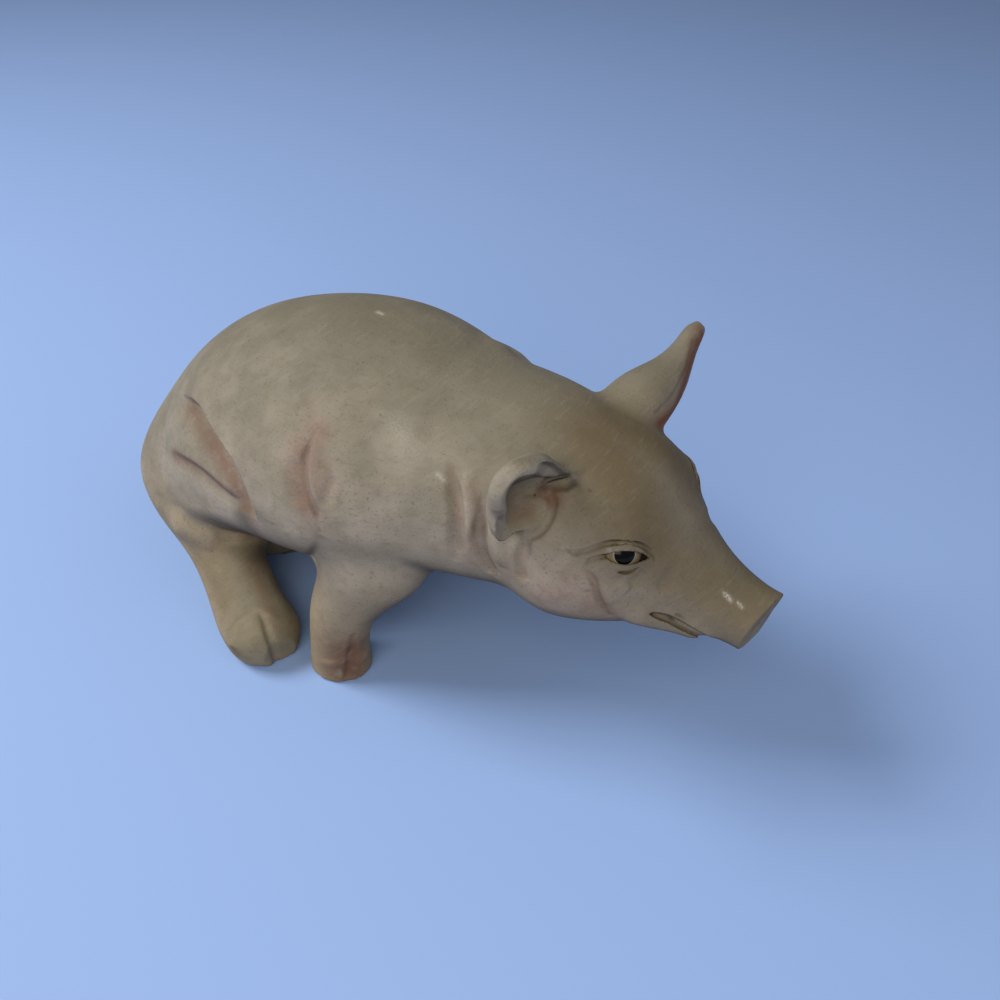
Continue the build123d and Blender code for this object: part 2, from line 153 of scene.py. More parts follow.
RIGHT_EAR_TWIST = math.radians(90)
LEFT_EAR_TWIST = math.radians(-12)

# The legs and the tail: ahead, side and height of each one's path, half thickness across and along
FORELEG_HALF = 10.5 * MM
FORELEG_STATIONS = (
    (0.282, 0.44, 1.12, 1.3, 1.4),
    (0.256, 0.6, 0.9, 1.62, 1.72),
    (0.226, 0.68, 0.7, 1.28, 1.33),
    (0.189, 0.74, 0.448, 1, 1.05),
    (0.176, 0.76, 0.207, 0.9, 1),
    (0.17, 0.76, -0.02, 0.97, 1.07),
)
HIND_LEG_HALF = 12 * MM
HIND_LEG_STATIONS = (
    (-0.27, 0.3, 1.24, 0.6, 0.65),
    (-0.292, 0.4, 1.034, 1.08, 1.2),
    (-0.302, 0.5, 0.81, 1.33, 1.37),
    (-0.277, 0.54, 0.62, 1.25, 1.25),
    (-0.208, 0.6, 0.414, 1.04, 1.12),
    (-0.112, 0.76, 0.241, 0.92, 1.05),
    (-0.032, 0.9, 0.155, 0.96, 1.1),
    (0.03, 0.965, 0.11, 1.03, 0.96),
    (0.064, 1, 0.09, 0.62, 0.5),
)
TAIL_HALF = 3.6 * MM
TAIL_STATIONS = (
    (-0.38, 0, 0.62, 1.25, 1.25),
    (-0.44, 0.04, 0.42, 1, 1),
    (-0.475, 0.14, 0.21, 0.8, 0.8),
    (-0.48, 0.28, 0.045, 0.55, 0.55),
)

# The eyes: balls behind lids
EYE_RADIUS = 7 * MM
EYE_SHARES = (0.095, 0.532, 0.412)
EYE_BACK_SHARE = 0.45
LID_THICKNESS = 0.9 * MM
EYE_RECESS = 0.5 * MM
PUPIL = (625.4, 555.1)

# The snout's flat end and its nostrils
SNOUT_EDGE = (0.505, 0.17, 0.30)
SNOUT_FACING = (0.955, -0.20, -0.22)
NOSTRIL_RADIUS = 1.7 * MM
NOSTRIL_DEPTH = 5 * MM
NOSTRIL_SIDE_SHARE = 0.13
MOUTH_DEPTH = 1.7 * MM

# Felt pads under the soles, and the rubber plug in the belly
LEGS = ("right_foreleg", "left_foreleg", "right_hind_leg", "left_hind_leg")
EARS = ("right_ear", "left_ear")
PAD_NODES = (*(leg + "_pad" for leg in LEGS), "rump_pad")
CLEARANCE = 0.2 * MM
PLUG_RADIUS = 9 * MM
PLUG_AHEAD_SHARE = -0.04
PLUG_SINK = 0.4 * MM
PLUG_THICKNESS = 3 * MM
PLUG_RECESS = 1.4 * MM

# How softly the masses run into each other
NECK_BLEND = 9 * MM
LEG_BLEND = 6 * MM
EAR_BLEND = 3 * MM
TAIL_BLEND = 2.5 * MM
SOLE_HEIGHT = 0.5 * MM


# Curves through tables of sizes

def smooth_rows(rows, count):
    """Rows joined by a smooth curve, read off at count even steps."""
    rows = np.asarray(rows, float)
    flat = rows.reshape(len(rows), -1)
    gaps = np.linalg.norm(np.diff(flat, axis=0), axis=1)
    knots = np.concatenate(([0.0], np.cumsum(gaps)))
    last = len(rows) - 1
    bending = np.zeros((len(rows), len(rows)))
    slopes = np.zeros_like(flat)
    bending[0, 0] = bending[last, last] = 1.0
    for i in range(1, last):
        bending[i, i - 1:i + 2] = gaps[i - 1], 2 * (gaps[i - 1] + gaps[i]), gaps[i]
        slopes[i] = 6 * ((flat[i + 1] - flat[i]) / gaps[i] - (flat[i] - flat[i - 1]) / gaps[i - 1])
    second = np.linalg.solve(bending, slopes)
    steps = np.linspace(0, knots[-1], count)
    span = np.clip(np.searchsorted(knots, steps, side="right") - 1, 0, last - 1)
    width = gaps[span][:, None]
    ahead = (steps - knots[span])[:, None]
    behind = width - ahead
    out = (second[span] * behind ** 3 + second[span + 1] * ahead ** 3) / (6 * width)
    out += (flat[span] / width - second[span] * width / 6) * behind
    out += (flat[span + 1] / width - second[span + 1] * width / 6) * ahead
    return out.reshape((count,) + rows.shape[1:])


def unit(way):
    """A way, or rows of ways, made one long."""
    if way.ndim == 1:
        return way / np.linalg.norm(way)
    return way / np.maximum(np.linalg.norm(way, axis=1), 1e-20)[:, None]


def egg(centre, side, up, down, low_roundness):
    """A closed ring of four quarters."""
    t = np.linspace(0, 1, 32, endpoint=False)[:, None]
    quarters = []
    for start, end, roundness in ((side, up, ROUND_SHARE), (up, -side, ROUND_SHARE),
                                  (-side, down, low_roundness), (down, side, low_roundness)):
        a = centre + start
        b = centre + start + end * roundness
        c = centre + end + start * roundness
        d = centre + end
        quarters.append((1 - t) ** 3 * a + 3 * (1 - t) ** 2 * t * b + 3 * (1 - t) * t ** 2 * c + t ** 3 * d)
    return np.concatenate(quarters)


def axes_at(nose_up):
    """Forward, sideways and upward directions of a tilted mass."""
    forward = np.array((math.cos(nose_up), 0.0, math.sin(nose_up)))
    upward = np.array((-math.sin(nose_up), 0.0, math.cos(nose_up)))
    return forward, np.array((0.0, 1.0, 0.0)), upward


TORSO_AXES = axes_at(TORSO_TILT)
TORSO_MIDDLE = np.array((ROW_SHIFT, 0.0, TORSO_AXIS_HEIGHT))
HEAD_AXES = axes_at(HEAD_TILT)
HEAD_MIDDLE = (TORSO_MIDDLE + TORSO_AXES[0] * (TORSO_LENGTH * HEAD_AHEAD_SHARE)
               + TORSO_AXES[2] * (TORSO_RISE * HEAD_LIFT_SHARE))


def head_point(shares, side=1):
    """A point in shares of the head's length, half width and rise."""
    ahead, out, up = shares
    return (HEAD_MIDDLE + HEAD_AXES[0] * (HEAD_LENGTH * ahead)
            + HEAD_AXES[1] * (HEAD_HALF_WIDTH * (side * out)) + HEAD_AXES[2] * (HEAD_RISE * up))


def barrel_rings(middle, axes, length, half_width, rise, drop, stations):
    """Rings along the torso or the head."""
    forward, sideways, upward = axes
    return [egg(middle + forward * (length * ahead) + upward * (rise * lift), sideways * (half_width * width),
                upward * (rise * top), upward * (-drop * bottom), roundness)
            for ahead, lift, width, top, bottom, roundness in stations]


def runs(path):
    """Which way a path runs at each point."""
    last = len(path) - 1
    return [unit(path[min(i + 1, last)] - path[max(i - 1, 0)]) for i in range(len(path))]


def limb_rings(stations, half):
    """Rings across a limb of the right side."""
    path = np.array([(ROW_SHIFT + TORSO_LENGTH * ahead, -TORSO_HALF_WIDTH * out, TORSO_AXIS_HEIGHT * up)
                     for ahead, out, up, _, _ in stations])
    rings = []
    for centre, run, (_, _, _, wide, deep) in zip(path, runs(path), stations):
        along = unit(np.array((1.0, 0.0, 0.0)) - run * run[0])
        rings.append(egg(centre, np.cross(run, along) * (half * wide), along * (half * deep),
                         along * (-half * deep), ROUND_SHARE))
    return rings


def ear_rings(side, twist, stations):
    """Rings of a cupped leaf; twist turns its mouth from down to forwards."""
    forward, _, upward = HEAD_AXES
    root = head_point(EAR_ROOT, side)
    chord = forward * math.cos(twist) + upward * math.sin(twist)
    sideways = np.array((0.0, side * EAR_LENGTH, 0.0))
    path = [root + forward * (EAR_LENGTH * s[0]) + sideways * s[1] + upward * (EAR_LENGTH * s[2])
            for s in stations]
    edges = np.linspace(-1, 1, 25)[:, None]
    rings = []
    for centre, run, (_, _, _, width, thickness, cup) in zip(path, runs(path), stations):
        level = unit(chord - run * np.dot(chord, run))
        back = np.cross(run, level) * -side
        bend = back * (EAR_CUP * cup)
        wall = EAR_THICKNESS * thickness * (1 - (1 - EAR_RIM_SHARE) * edges ** 4)
        middle = centre + level * (-side * EAR_HALF_WIDTH * width) * edges + bend * (1 - edges ** 2)
        rings.append(np.concatenate((middle + back * (wall / 2), (middle - back * (wall / 2))[::-1])))
    return rings


def faces_through(count, around):
    """A closed form's fans at its start and end, and the quads between its rings."""
    j = np.arange(around)
    k = (j + 1) % around
    rows = (np.arange(count - 1) * around)[:, None]
    quads = np.stack((rows + j, rows + k, rows + around + k, rows + around + j), axis=-1).reshape(-1, 4)
    first = np.stack((j, k, np.full(around, count * around)), axis=1)
    return first, first + ((count - 1) * around, (count - 1) * around, 1), quads


def closed_mesh(rings, count):
    """Points, triangles and quads of a smooth form through rings."""
    rings = smooth_rows(rings, count)
    first, last, quads = faces_through(count, rings.shape[1])
    points = np.vstack((rings.reshape(-1, 3), rings[0].mean(0), rings[-1].mean(0)))
    return points, np.concatenate((first, last)), quads


# Distance fields: negative inside a mass, positive outside it

class Block:
    """A box of cells, alike on both sides of the pig."""

    def __init__(self, cell, low, high):
        self.cell = cell
        self.low = [math.floor(low[0] / cell), -math.ceil(high[1] / cell), math.floor(low[2] / cell)]
        self.shape = tuple(math.ceil(top / cell) - bottom + 1 for top, bottom in zip(high, self.low))

    def distance(self, form):
        points, triangles, quads = form
        grid = vdb.FloatGrid.createLevelSetFromPolygons(
            points.astype(np.float32), triangles=triangles.astype(np.uint32), quads=quads.astype(np.uint32),
            transform=vdb.createLinearTransform(voxelSize=self.cell), halfWidth=REACH / self.cell)
        values = np.empty(self.shape, np.float32)
        grid.copyToArray(values, ijk=tuple(self.low))
        return values

    def read(self, values, places):
        """A field's values at places between the cells."""
        at = places / self.cell - np.array(self.low)
        at = np.clip(at, 0, np.array(self.shape) - 1.001)
        base = at.astype(np.int64)
        i, j, k = base.T
        shares = (1 - (at - base)).T, (at - base).T
        total = np.zeros(len(places))
        for a, b, c in np.ndindex(2, 2, 2):
            total += shares[a][0] * shares[b][1] * shares[c][2] * values[i + a, j + b, k + c]
        return total

    def slope(self, values, places, step):
        """How a field rises around places along the three axes."""
        rises = [self.read(values, places + shift) - self.read(values, places - shift)
                 for shift in np.eye(3) * step]
        return np.stack(rises, axis=1) / (2 * step)


def merged(a, b, softness):
    """Two masses run into one, with a soft fillet between them."""
    overlap = np.maximum(softness - np.abs(a - b), 0) / softness
    return np.minimum(a, b) - overlap * overlap * (softness / 4)


FORMS = {
    "torso": closed_mesh(barrel_rings(
        TORSO_MIDDLE, TORSO_AXES, TORSO_LENGTH, TORSO_HALF_WIDTH, TORSO_RISE, TORSO_DROP, TORSO_STATIONS), 80),
    "head": closed_mesh(barrel_rings(
        HEAD_MIDDLE, HEAD_AXES, HEAD_LENGTH, HEAD_HALF_WIDTH, HEAD_RISE, HEAD_DROP,
        [(row[0], 0.0, *row[1:], ROUND_SHARE) for row in HEAD_STATIONS]), 70),
    "right_foreleg": closed_mesh(limb_rings(FORELEG_STATIONS, FORELEG_HALF), 40),
    "right_hind_leg": closed_mesh(limb_rings(HIND_LEG_STATIONS, HIND_LEG_HALF), 60),
    "right_ear": closed_mesh(ear_rings(-1, RIGHT_EAR_TWIST, RIGHT_EAR_STATIONS), 40),
    "left_ear": closed_mesh(ear_rings(1, LEFT_EAR_TWIST, LEFT_EAR_STATIONS), 40),
    "tail": closed_mesh(limb_rings(TAIL_STATIONS, TAIL_HALF), 30),
}


def masses_in(block):
    """The fields of each mass, of all run together, and of all but ears and tail."""
    fields = {name: block.distance(form) for name, form in FORMS.items()}
    for leg in ("foreleg", "hind_leg"):
        fields["left_" + leg] = fields["right_" + leg][:, ::-1, :]
    smooth = merged(fields["torso"], fields["head"], NECK_BLEND)
    for leg in LEGS:
        smooth = merged(smooth, fields[leg], LEG_BLEND)
    whole = merged(smooth, fields["tail"], TAIL_BLEND)
    for ear in EARS:
        whole = merged(whole, fields[ear], EAR_BLEND)
    return fields, whole, smooth


# The photograph's pixels, followed onto the skin

whole_block = Block(WHOLE_CELL, LOW, HIGH)
_, whole_field, earless_field = masses_in(whole_block)


def sights(pixels):
    """The camera's lines of sight through rows of pixels."""
    aside = pixels - FRAME_PIXELS / 2
    return unit(CAMERA_FORWARD * FOCAL_PIXELS + CAMERA_RIGHT * aside[:, :1] - CAMERA_UP * aside[:, 1:])


def aim(pixels, field, slack):
    """Where lines of sight meet the skin or pass it by less than slack, and the way out there."""
    sight = sights(pixels)
    way = best = np.full(len(pixels), SIGHT_START)
    least = np.full(len(pixels), REACH)
    for _ in range(SIGHT_STEPS):
        gap = whole_block.read(field, CAMERA_PLACE + sight * way[:, None])
        best = np.where(np.abs(gap) < least, way, best)
        least = np.minimum(np.abs(gap), least)
        way = way + np.clip(gap, -2 * MM, 3 * MM) * 0.8
    spots = CAMERA_PLACE + sight * best[:, None]
    hit = least < slack
    return spots[hit], unit(whole_block.slope(field, spots, WHOLE_CELL))[hit]


def round_pad(node):
    """A pad's centre on the ground, radius and thickness."""
    low_corner, high_corner = (np.array(corner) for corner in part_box(node))
    middle = (low_corner + high_corner) / 2
    return node, middle * np.array((1.0, 1.0, 0.0)), (high_corner[0] - low_corner[0]) / 2, high_corner[2]


PADS = [round_pad(node) for node in PAD_NODES]


def beside(places, line, reach):
    """Which places lie in a box around a line."""
    return np.flatnonzero(((places > line.min(0) - reach) & (places < line.max(0) + reach)).all(1))


class Skin:
    """The modelled surface in one block."""

    def __init__(self, block):
        self.block = block
        self.fields, self.whole, _ = masses_in(block)
        self.near = np.flatnonzero(np.abs(self.whole) < SHELL)
        cells = np.stack(np.unravel_index(self.near, block.shape), axis=1) + block.low
        self.places = cells.astype(np.float32) * np.float32(block.cell)
        self.values = self.whole.reshape(-1)[self.near].astype(np.float64)

    def finish(self):
        """Puts the modelled cells back, cuts the soles level and sinks pockets for the pads."""
        self.whole.reshape(-1)[self.near] = self.values
        heights = (np.arange(self.block.shape[2]) + self.block.low[2]) * self.block.cell
        self.whole = np.maximum(self.whole, SOLE_HEIGHT - heights.astype(np.float32))
        flat = self.whole.reshape(-1)
        for _, centre, radius, thickness in PADS:
            chosen = beside(self.places, centre[None], 2 * radius)
            places = self.places[chosen]
            aside = np.linalg.norm(places[:, :2] - centre[:2], axis=1) - radius - CLEARANCE
            cut = -np.maximum(aside, places[:, 2] - thickness)
            flat[self.near[chosen]] = np.maximum(flat[self.near[chosen]], cut)


def measure(places, line, out, hand=1):
    """Each place's distance to a line, share of the way along it and offset to its left."""
    nearest = np.full(len(places), FAR)
    share, aside = np.zeros((2, len(places)))
    for i in range(len(line) - 1):
        run = line[i + 1] - line[i]
        square = max(run @ run, 1e-12)
        along = np.clip((places - line[i]) @ run / square, 0, 1)
        gap = places - line[i] - along[:, None] * run
        distance = np.sqrt((gap ** 2).sum(1))
        left = np.cross(out[i], run / math.sqrt(square)) * hand
        closer = distance < nearest
        nearest[closer] = distance[closer]
        share[closer] = (i + along[closer]) / (len(line) - 1)
        aside[closer] = (gap @ left)[closer]
    return nearest, share, aside


def eased(x):
    x = np.clip(x, 0, 1)
    return x * x * (3 - 2 * x)


def fading(share, start, end):
    """Full strength along a line's middle, fading at either end."""
    rise = eased(share / start) if start else 1.0
    fall = eased((1 - share) / end) if end else 1.0
    return rise * fall


class Stroke:
    """A line of pixels, x and y in turn, followed onto the skin."""

    def __init__(self, pixels, mirrored=True, slack=0.5 * MM, field=earless_field, smooth=True):
        pixels = np.reshape(pixels, (-1, 2)).astype(float)
        length = np.linalg.norm(np.diff(pixels, axis=0), axis=1).sum()
        if smooth and len(pixels) > 1:
            pixels = smooth_rows(pixels, max(3, int(length / STROKE_STEP)))
        self.line, self.out = aim(pixels, field, slack)
        self.mirrored = mirrored
        if len(self.line) == 1:
            self.line = np.concatenate((self.line, self.line + 0.01 * MM))
            self.out = np.repeat(self.out, 2, axis=0)

    def sides(self):
        """The stroke and, where it is mirrored, its twin."""
        if len(self.line) > 1:
            for hand in (1, -1) if self.mirrored else (1,):
                flip = np.array((1.0, hand, 1.0))
                yield self.line * flip, self.out * flip, hand


def model(stroke, reach, change):
    """Changes the cells beside a stroke."""
    for line, out, hand in stroke.sides():
        for skin in skins.values():
            chosen = beside(skin.places, line, reach)
            if len(chosen):
                found = measure(skin.places[chosen], line, out, hand)
                skin.values[chosen] = change(skin.values[chosen], *found)


# Modelling tools. Their sizes are in millimetres, and ends are the shares of a line over which it fades

def swell(pixels, height, width, ends=(0.25, 0.25), **about):
    """Raises a soft ridge, or presses a valley where height is negative."""
    height, width = height * MM, width * MM

    def change(values, distance, share, aside):
        return values - height * np.exp(-(distance / width) ** 2) * fading(share, *ends)
    model(Stroke(pixels, **about), STROKE_SPREAD * width, change)


def step(pixels, rise, drop, width, edge, ends=(0.25, 0.25)):
    """A ledge: the skin left of a line stands proud of the skin right of it."""
    rise, drop, width, edge = rise * MM, drop * MM, width * MM, edge * MM

    def change(values, distance, share, aside):
        lip = 0.5 + 0.5 * np.tanh(aside / edge)
        near = np.exp(-(distance / width) ** 2) * fading(share, *ends)
        return values - (rise * lip - drop * (1 - lip)) * near
    model(Stroke(pixels), STROKE_SPREAD * width, change)


def carve(pixels, radius, softness, lift=0.0, ends=(0.3, 0.3), **about):
    """Cuts a channel, shallower where its tool is lifted off the skin."""
    radius, softness, lift = radius * MM, softness * MM, lift * MM
    stroke = Stroke(pixels, **about)
    stroke.line = stroke.line + stroke.out * lift

    def change(values, distance, share, aside):
        tool = lift + (radius - lift) * fading(share, *ends) - distance
        return -merged(-values, -tool, softness)
    model(stroke, radius + softness, change)


def bead(pixels, radius, softness, ends=(0.3, 0.3), depth=0.0, **about):
    """Lays a roll of clay along a line, set back from the camera."""
    radius, softness = radius * MM, softness * MM
    stroke = Stroke(pixels, slack=3 * MM, **about)
    stroke.line = stroke.line + CAMERA_FORWARD * (depth * MM)

    def change(values, distance, share, aside):
        roll = distance - radius * np.maximum(fading(share, *ends), 0.05)
        return merged(values, roll, softness)
    model(stroke, radius + softness, change)


skins = {
    "head": Skin(Block(HEAD_CELL, (8 * MM, 0, 14 * MM), HIGH + MM)),
    "body": Skin(Block(BODY_CELL, LOW - MM, (88 * MM, HIGH[1] + MM, HIGH[2] + MM))),
}


def seen_at(places):
    """The pixels at which the camera sees places, and their depths."""
    away = places - CAMERA_PLACE
    depth = away @ CAMERA_FORWARD
    return np.stack((FRAME_PIXELS / 2 + FOCAL_PIXELS * (away @ CAMERA_RIGHT) / depth,
                     FRAME_PIXELS / 2 - FOCAL_PIXELS * (away @ CAMERA_UP) / depth), axis=1), depth


def outline_distance(spots, outline):
    """Pixels from spots to a closed outline, negative inside it."""
    nearest = np.full(len(spots), FAR)
    inside = np.zeros(len(spots), bool)
    for a, b in zip(outline, np.roll(outline, -1, axis=0)):
        run = b - a
        along = np.clip((spots - a) @ run / (run @ run), 0, 1)
        nearest = np.minimum(nearest, np.linalg.norm(spots - a - along[:, None] * run, axis=1))
        if a[1] != b[1]:
            crosses = (spots[:, 1] > min(a[1], b[1])) & (spots[:, 1] <= max(a[1], b[1]))
            inside ^= crosses & (spots[:, 0] < a[0] + (spots[:, 1] - a[1]) * run[0] / run[1])
    return np.where(inside, -nearest, nearest)


def open_along_sight(outline, about, reach, floor):
    """Cuts an opening with a given outline, down to where floor turns negative."""
    outline = np.reshape(outline, (-1, 2)).astype(float)
    skin = skins["head"]
    for hand in (1, -1):
        flip = np.array((1.0, hand, 1.0))
        chosen = beside(skin.places, (about * flip)[None], reach)
        places = skin.places[chosen] * flip
        spots, depth = seen_at(places)
        hole = outline_distance(spots, outline) * depth / FOCAL_PIXELS
        cut = -np.maximum(hole, floor(places, skin.values[chosen]))
        skin.values[chosen] = np.maximum(skin.values[chosen], cut)


def plug_place(ahead, side):
    """A point of the belly, given by its distances from the plug's axis."""
    way = TORSO_DROP / 2
    start = TORSO_MIDDLE + TORSO_AXES[0] * (TORSO_LENGTH * PLUG_AHEAD_SHARE + ahead) + TORSO_AXES[1] * side
    for _ in range(60):
        spot = start - TORSO_AXES[2] * way
        way = way - whole_block.read(earless_field, spot[None])[0]
    return spot


def model_eyes():
    """Lids that wrap the eyeballs, with the creases above and below them."""
    skin = skins["head"]
    for side in (-1, 1):
        centre = head_point(EYE_SHARES, side)
        chosen = beside(skin.places, centre[None], 2 * EYE_RADIUS)
        ball = np.linalg.norm(skin.places[chosen] - centre, axis=1)
        skin.values[chosen] = merged(skin.values[chosen], ball - EYE_RADIUS - LID_THICKNESS, 2.5 * MM)
    carve((563, 549, 572, 551, 581, 552, 594, 548, 606, 544, 617, 542.5, 631, 543, 642, 546, 650, 551, 655,
        558, 655, 563), 0.7, 0.7, 0.1, (0.2, 0.15))
    carve((614, 569, 620, 571, 626, 571.5, 632, 570.5, 639, 567), 0.6, 0.6, 0.1)
    carve((566, 549, 572, 553, 579, 556), 0.5, 0.5, 0.1)
    carve((584, 566, 587, 562, 593, 559, 600, 557.5, 606, 556), 0.6, 0.6, 0.1, (0.3, 0))
    centre = head_point(EYE_SHARES, -1)
    open_along_sight(
        (604, 556, 609, 553.4, 615.6, 551.8, 625, 551, 635, 551.6, 643, 553.8, 648.5, 558, 641.6, 561.2,
            635.5, 563.4, 626.3, 564.8, 618.2, 563.9, 611, 561.3),
        centre, 2 * EYE_RADIUS,
        lambda places, values: EYE_RADIUS - EYE_RECESS - np.linalg.norm(places - centre, axis=1))


def model_snout():
    """The lower jaw, the snout's flat end with its nostrils, and the open lips."""
    bead((602, 602, 621, 605, 637.5, 610, 656, 615, 676, 619, 697, 625.5, 718, 631, 733, 634), 4.2, 3, (0.3,
        0.3), depth=3.4)
    skin = skins["head"]
    facing = unit(np.array(SNOUT_FACING))
    edge = head_point(SNOUT_EDGE)
    skin.values = np.maximum(skin.values, (skin.places - edge) @ facing)
    upward = HEAD_AXES[2]
    for side in (-1, 1):
        mouth = head_point((SNOUT_EDGE[0], NOSTRIL_SIDE_SHARE, 0.02), side)
        mouth = mouth - facing * ((mouth - edge) @ facing)
        chosen = beside(skin.places, mouth[None], 2 * NOSTRIL_DEPTH)
        hollow = np.array((mouth + facing * NOSTRIL_DEPTH, mouth - facing * NOSTRIL_DEPTH))
        distance, _, _ = measure(skin.places[chosen], hollow, np.array((upward, upward)))
        skin.values[chosen] = -merged(-skin.values[chosen], distance - NOSTRIL_RADIUS, 0.8 * MM)
    lips = Stroke((646, 614, 658, 615.5, 668, 618.5, 680, 624.5, 694, 632, 708, 638, 720, 641), slack=4 * MM)

    def floor(places, values):
        _, share, _ = measure(places, lips.line, lips.out)
        return -MOUTH_DEPTH * (1 - 0.7 * share) - values
    open_along_sight(
        (648, 613.6, 653, 612.4, 658, 612.6, 668.2, 614.6, 677.3, 618.7, 687.6, 624.6, 697.8, 630.6, 708, 636,
            717, 640.5, 706, 639.8, 692.7, 635.4, 680.4, 629.4, 668.2, 622.8, 657, 618.6),
        lips.line[len(lips.line) // 2], 16 * MM, floor)


def model_pour_hole():
    """The shallow recess in the belly that shows the plug."""
    skin = skins["body"]
    chosen = beside(skin.places, plug_place(0.0, 0.0)[None], 2 * PLUG_RADIUS)
    out = skin.places[chosen] - TORSO_MIDDLE - TORSO_AXES[0] * (TORSO_LENGTH * PLUG_AHEAD_SHARE)
    aside = np.linalg.norm(out - (out @ TORSO_AXES[2])[:, None] * TORSO_AXES[2], axis=1)
    cut = -np.maximum(aside - PLUG_RADIUS - CLEARANCE, -PLUG_RECESS - skin.values[chosen])
    skin.values[chosen] = np.maximum(skin.values[chosen], cut)


# The barrel bulges over the thigh, and the thigh over the shank
step((168, 386, 182, 395, 193, 401, 210, 426, 226, 451, 239, 472, 250, 499, 257, 522), 1, 3.4, 10, 0.7, (0.25,
    0.12))
carve((184, 396, 195, 403, 211, 427, 227, 452, 240, 473, 250, 499), 0.7, 0.7, 0.1)
step((158, 446, 185, 458, 206, 474, 226, 493, 243, 508), 0.8, 1.3, 5, 1.3, (0.4, 0.2))
swell((178, 425, 204, 446, 226, 472), 0.8, 4)
bead((164, 503, 180, 515, 198, 525, 216, 530, 234, 532), 6, 6, (0.35, 0.3), depth=4.6)

# The deep fold behind the shoulder and the skin drawn up on both sides of it
swell((300, 455, 294, 480, 302, 510), -1.2, 3.6)
swell((318, 436, 312, 462, 313, 490, 318, 512), 0.9, 2)
carve((316, 432, 308, 447, 304, 462, 304, 480, 309, 498, 315, 512, 320, 532), 1.4, 1.2, 0.2, (0.35, 0.35))
swell((334, 474, 329, 490, 324, 508), -0.9, 1.6)
step((304, 560, 313, 548, 318, 532), 0, 1.2, 4, 1)

# Three folds of skin between the shoulder and the jowl, and the ridge of the shoulder
swell((403, 398, 412, 430, 411, 465), 0.9, 7)
swell((430, 415, 434, 450, 433, 480), -0.9, 6)
swell((467, 465, 468, 500, 469, 545), 1.5, 2.4)
swell((497, 518, 498, 545, 506, 570), 1.5, 2.2)
carve((449, 464, 453, 485, 456, 505, 457, 530, 455, 558), 2.2, 2, 0.6, (0.35, 0.15))
carve((482, 500, 480, 525, 480, 546, 486, 562, 496, 576), 2, 1.6, 0.4, (0.35, 0.05))
carve((531, 535, 524, 548, 520, 562, 522, 580), 1.8, 1.4, 0.4, (0.35, 0.05))

# Cloven hooves under the skin's edge
carve((259, 611, 266, 628, 272, 645, 278, 666), 1.2, 1.2, 0.1, (0.4, 0))
step((222, 640, 229, 630, 236, 620, 245, 614, 256, 611, 268, 616, 277, 624), 0.5, 0.5, 3, 0.5)
swell((228, 628, 228, 640, 232, 650), 0.8, 2)
carve((353, 636, 352, 656, 348, 678), 1.4, 2, 0.2, (0.5, 0))
swell((330, 660, 335, 668), 0.8, 3)
swell((364, 652, 363, 662), 0.8, 3)

# The near ear's thick rolled rim, its sunken inner face and the dark slit beside it
near_ear = {"mirrored": False, "field": whole_field}
swell((514, 482, 513, 502, 519, 522), -1.6, 3.2, **near_ear)
swell((528, 478, 530, 500), -1.2, 3, **near_ear)
bead((506, 527, 499, 510, 497, 492, 503, 478, 514, 470, 530, 467, 547, 471, 561, 478), 2.2, 1.6, (0.2, 0.2),
    depth=1.2, **near_ear)
carve((538, 490, 552, 484, 566, 483, 578, 484), 2, 1, 0.4, (0.3, 0.3), **near_ear)
carve((522, 542, 540, 531, 550, 515, 552, 500, 543, 489), 1.3, 1, 0.2, (0.3, 0.1), **near_ear)

# Creases of the cheek and a wart
carve((583, 568, 588, 573, 592, 579, 596, 587, 598, 596, 603, 606, 609, 615), 1, 1, 0.2)
swell((603, 580, 608, 595, 614, 606), 0.6, 2.2)
swell((587, 590, 590, 601), -0.6, 0.9)
swell((646, 569, 638, 579, 627, 587), -0.9, 2.2)
swell((672, 564, 671, 574, 665, 583, 655, 588), -0.8, 1.8)
swell((618, 580, 632, 590), 0.6, 3)
swell((672, 614, 684, 617), -0.4, 0.8)
swell((611.5, 530), 0.9, 1.8, (0, 0), mirrored=False)
swell((612, 530), -0.6, 0.7, (0, 0), mirrored=False)

model_eyes()
model_snout()
model_pour_hole()
for skin in skins.values():
    skin.finish()


# Pieces cut from the modelled surface

def surface(skin):
    """Triangles of the modelled surface, their points drawn onto it."""
    block = skin.block
    grid = vdb.FloatGrid(REACH)
    grid.transform = vdb.createLinearTransform(voxelSize=block.cell)
    grid.copyFromArray(np.clip(skin.whole, -REACH, REACH), ijk=tuple(block.low))
    points, triangles, quads = grid.convertToPolygons(isovalue=0.0, adaptivity=0.0)
    points = points.astype(float)
    faces = np.concatenate((quads[:, (0, 1, 2)], quads[:, (0, 2, 3)], triangles)).astype(np.int64)
    for _ in range(2):
        slope = block.slope(skin.whole, points, block.cell / 2)
        steep = np.maximum((slope ** 2).sum(1), 0.04)
        move = block.read(skin.whole, points) / steep
        points = points - slope * np.clip(move, -block.cell / 2, block.cell / 2)[:, None]
    out = unit(block.slope(skin.whole, points, block.cell / 2))
    facing = np.einsum("ij,ij->i", across_faces(points, faces), out[faces[:, 0]])
    return points, out, faces if facing.sum() >= 0 else faces[:, ::-1]


def across_faces(points, faces):
    """Which way faces look, as long as twice their area."""
    a, b, c = (points[faces[:, i]] for i in range(3))
    return np.cross(b - a, c - a)


